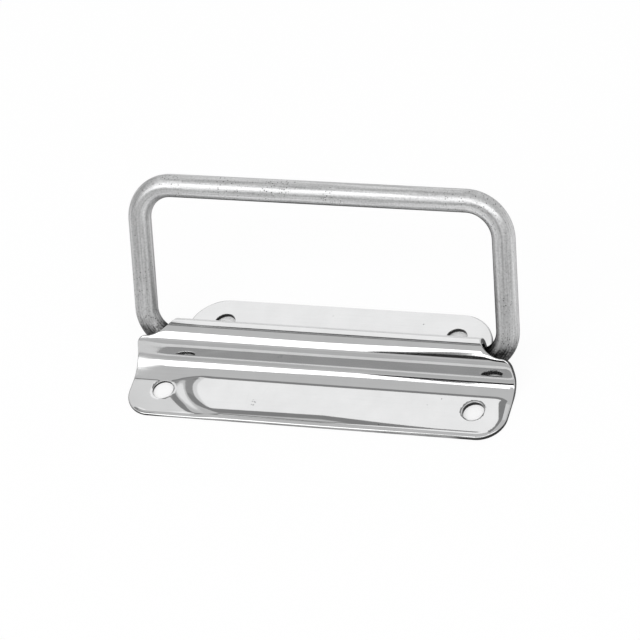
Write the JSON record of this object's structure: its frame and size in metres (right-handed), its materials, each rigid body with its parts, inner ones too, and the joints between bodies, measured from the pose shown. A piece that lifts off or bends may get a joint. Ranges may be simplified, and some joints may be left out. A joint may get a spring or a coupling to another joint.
{
  "type": "chest handle",
  "caption": "Surface-mount chest handle: a pressed steel plate with screw flanges on both sides of a rounded hump, and a round-bar bail whose ends turn under the hump.",
  "frame": {"origin": "on the mounting face, midway between the two front screw holes", "axes": "+X along the plate's width, +Y from the front flange to the rear flange, +Z away from the mounting face"},
  "size_m": [0.1056, 0.0483, 0.042],
  "materials": {
    "polished_plate": "mirror-polished stainless steel sheet with rounded edges and fine scratches",
    "satin_bar": "tumbled stainless steel bar with lengthwise streaks, pits and tool marks"
  },
  "bodies": {
    "plate": {"base_plate": "polished_plate"},
    "bail": {"bail_handle": "satin_bar"}
  },
  "joints": [
    {"name": "bail_pivot", "type": "hinge", "parent": "plate", "child": "bail", "pos_m": [0, 0.0142, 0.0038], "axis": [1, 0, 0], "range_deg": [-57, 15]}
  ]
}
